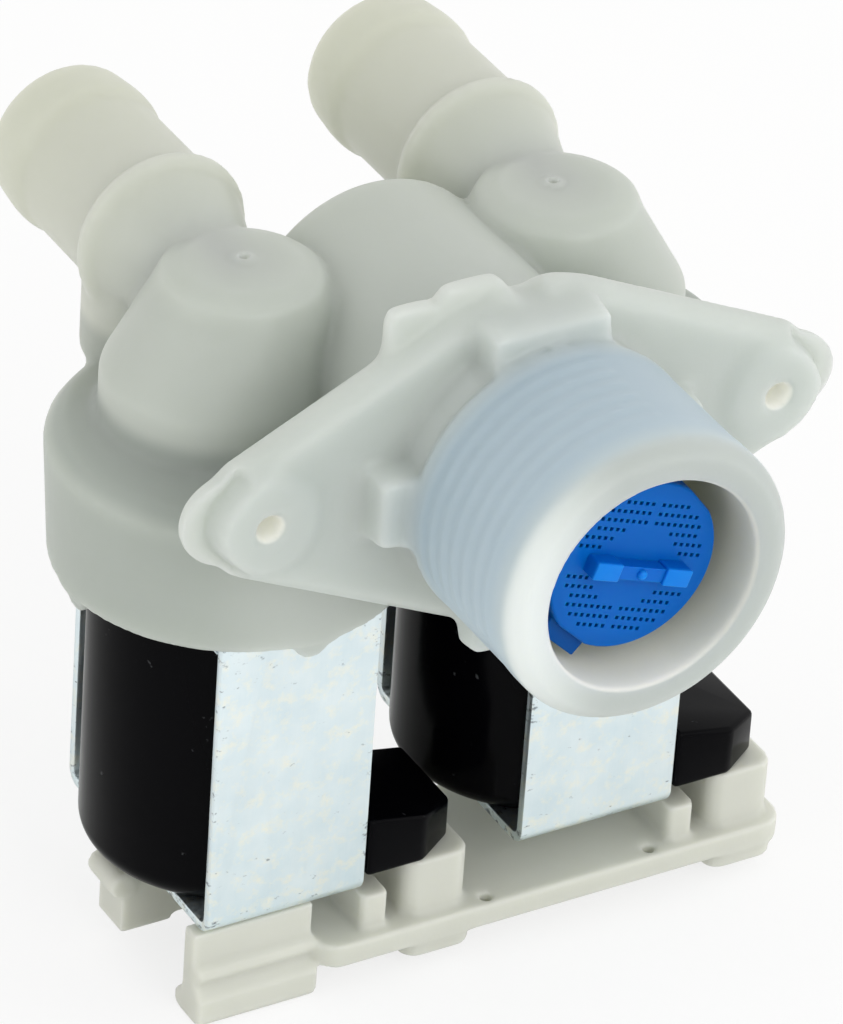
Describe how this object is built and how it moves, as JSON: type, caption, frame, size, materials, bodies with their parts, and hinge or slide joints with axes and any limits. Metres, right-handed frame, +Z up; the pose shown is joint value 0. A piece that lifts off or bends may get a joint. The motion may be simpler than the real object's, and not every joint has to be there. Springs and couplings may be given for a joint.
{
  "type": "washing machine inlet valve",
  "caption": "Twin solenoid water inlet valve: threaded hose inlet with strainer, screw flange, two domed outlets with hose spigots, and coils in steel yokes over a terminal carrier.",
  "frame": {"origin": "on the inlet axis, in the front face of the mounting flange, midway between its screw holes", "axes": "-Y out of the hose inlet, +X to the right-hand valve seen from the inlet, +Z up to the outlet domes"},
  "size_m": [0.0666, 0.0751, 0.074],
  "materials": {
    "natural_plastic": "semi-translucent moulded plastic, satin",
    "blue_plastic": "satin",
    "white_plastic": "satin",
    "black_plastic": "gloss",
    "zinc_steel": "bright zinc plate",
    "plain_steel": "turned steel",
    "copper_wire": "enamelled wire",
    "tinned_brass": "tinned",
    "rubber": "matt"
  },
  "bodies": {
    "base": {"valve_body": "natural_plastic", "terminal_carrier": "white_plastic", "flow_washer_left": "rubber", "diaphragm_left": "rubber", "guide_tube_left": "natural_plastic", "coil_bobbin_left": "white_plastic", "plunger_spring_left": "plain_steel", "upper_flux_sleeve_left": "zinc_steel", "lower_flux_sleeve_left": "zinc_steel", "yoke_frame_left": "zinc_steel", "yoke_plate_left": "zinc_steel", "coil_winding_left": "copper_wire", "coil_terminals_left": "tinned_brass", "coil_cover_left": "black_plastic", "flow_washer_right": "rubber", "diaphragm_right": "rubber", "guide_tube_right": "natural_plastic", "coil_bobbin_right": "white_plastic", "plunger_spring_right": "plain_steel", "upper_flux_sleeve_right": "zinc_steel", "lower_flux_sleeve_right": "zinc_steel", "yoke_frame_right": "zinc_steel", "yoke_plate_right": "zinc_steel", "coil_winding_right": "copper_wire", "coil_terminals_right": "tinned_brass", "coil_cover_right": "black_plastic"},
    "filter": {"inlet_filter": "blue_plastic"},
    "plunger_left": {"plunger_left": "plain_steel", "plunger_seal_left": "rubber"},
    "pilot_left": {"pilot_disc_left": "white_plastic"},
    "plunger_right": {"plunger_right": "plain_steel", "plunger_seal_right": "rubber"},
    "pilot_right": {"pilot_disc_right": "white_plastic"}
  },
  "joints": [
    {"name": "filter_pull", "type": "slide", "parent": "base", "child": "filter", "axis": [0, -1, 0], "range_m": [0, 0.024]},
    {"name": "plunger_lift_left", "type": "slide", "parent": "base", "child": "plunger_left", "axis": [0, 0, -1], "range_m": [0, 0.0025], "stiffness_N_per_m": 200, "springref_m": -0.004, "deforming": ["plunger_spring_left"]},
    {"name": "diaphragm_lift_left", "type": "slide", "parent": "base", "child": "pilot_left", "axis": [0, 0, -1], "range_m": [0, 0.002], "deforming": ["diaphragm_left"]},
    {"name": "plunger_lift_right", "type": "slide", "parent": "base", "child": "plunger_right", "axis": [0, 0, -1], "range_m": [0, 0.0025], "stiffness_N_per_m": 200, "springref_m": -0.004, "deforming": ["plunger_spring_right"]},
    {"name": "diaphragm_lift_right", "type": "slide", "parent": "base", "child": "pilot_right", "axis": [0, 0, -1], "range_m": [0, 0.002], "deforming": ["diaphragm_right"]}
  ],
  "couplings": [
    {"joint": "diaphragm_lift_left", "follows": "plunger_lift_left", "ratio": 0.8},
    {"joint": "diaphragm_lift_right", "follows": "plunger_lift_right", "ratio": 0.8}
  ]
}
